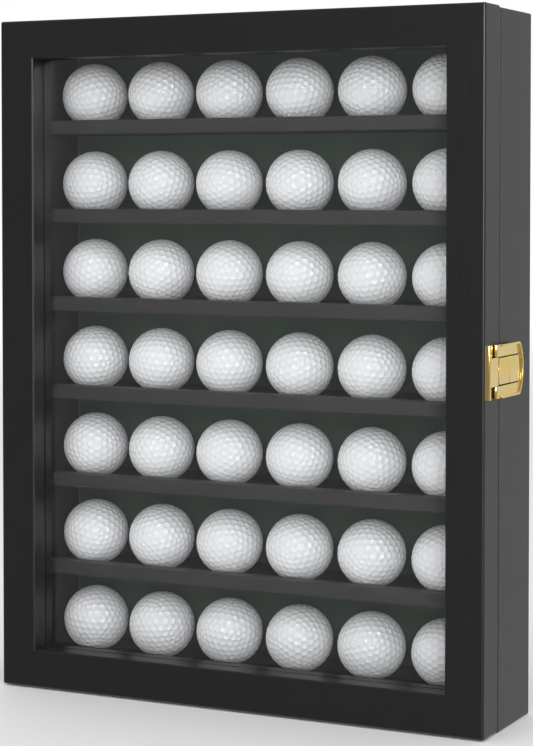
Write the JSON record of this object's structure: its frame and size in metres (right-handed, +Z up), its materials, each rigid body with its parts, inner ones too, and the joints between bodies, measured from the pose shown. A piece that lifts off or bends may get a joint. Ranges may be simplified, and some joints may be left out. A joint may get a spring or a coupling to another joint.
{
  "type": "golf ball display case",
  "caption": "Black wall display case for golf balls: grooved shelves in a mitred box behind a hinged glazed door with a brass flap latch.",
  "frame": {"origin": "under the middle of the case, on the surface it can stand on", "axes": "+X to the viewer's right, +Y from the door to the wall, +Z up"},
  "size_m": [0.3426, 0.079, 0.431],
  "materials": {
    "case_wood": "black satin lacquer on wood",
    "door_wood": "black satin lacquer on wood",
    "shelf_wood": "black satin lacquer on wood",
    "pane": "clear float glass",
    "hardboard": "brown hardboard",
    "green_felt": "dark green felt",
    "zinc_steel": "bright zinc plate",
    "ball_cover": "glossy white moulded cover of a golf ball",
    "brass": "polished brass plate"
  },
  "bodies": {
    "case": {"back_panel": "hardboard", "ball_row_1": "ball_cover", "ball_row_2": "ball_cover", "ball_row_3": "ball_cover", "ball_row_4": "ball_cover", "ball_row_5": "ball_cover", "ball_row_6": "ball_cover", "ball_row_7": "ball_cover", "bottom_panel": "case_wood", "bottom_rack": "shelf_wood", "felt_lining": "green_felt", "latch_catch": "brass", "left_hanger": "zinc_steel", "left_side": "case_wood", "lower_hinge_case_leaf": "brass", "lower_hinge_pin": "brass", "right_hanger": "zinc_steel", "right_side": "case_wood", "shelf_1": "shelf_wood", "shelf_2": "shelf_wood", "shelf_3": "shelf_wood", "shelf_4": "shelf_wood", "shelf_5": "shelf_wood", "shelf_6": "shelf_wood", "top_panel": "case_wood", "upper_hinge_case_leaf": "brass", "upper_hinge_pin": "brass"},
    "door": {"door_bottom_rail": "door_wood", "door_glass": "pane", "door_left_stile": "door_wood", "door_right_stile": "door_wood", "door_top_rail": "door_wood", "glass_bead_bottom": "door_wood", "glass_bead_left": "door_wood", "glass_bead_right": "door_wood", "glass_bead_top": "door_wood", "latch_cover": "brass", "latch_pin": "brass", "lower_hinge_door_leaf": "brass", "upper_hinge_door_leaf": "brass"},
    "latch": {"latch_flap": "brass"}
  },
  "joints": [
    {"name": "door_swing", "type": "hinge", "parent": "case", "child": "door", "pos_m": [-0.1692, -0.0153, 0.216], "axis": [0, 0, -1], "range_deg": [0, 180]},
    {"name": "latch_swing", "type": "hinge", "parent": "door", "child": "latch", "pos_m": [0.16835, -0.0257, 0.216], "axis": [0, 0, -1], "range_deg": [0, 110]}
  ]
}
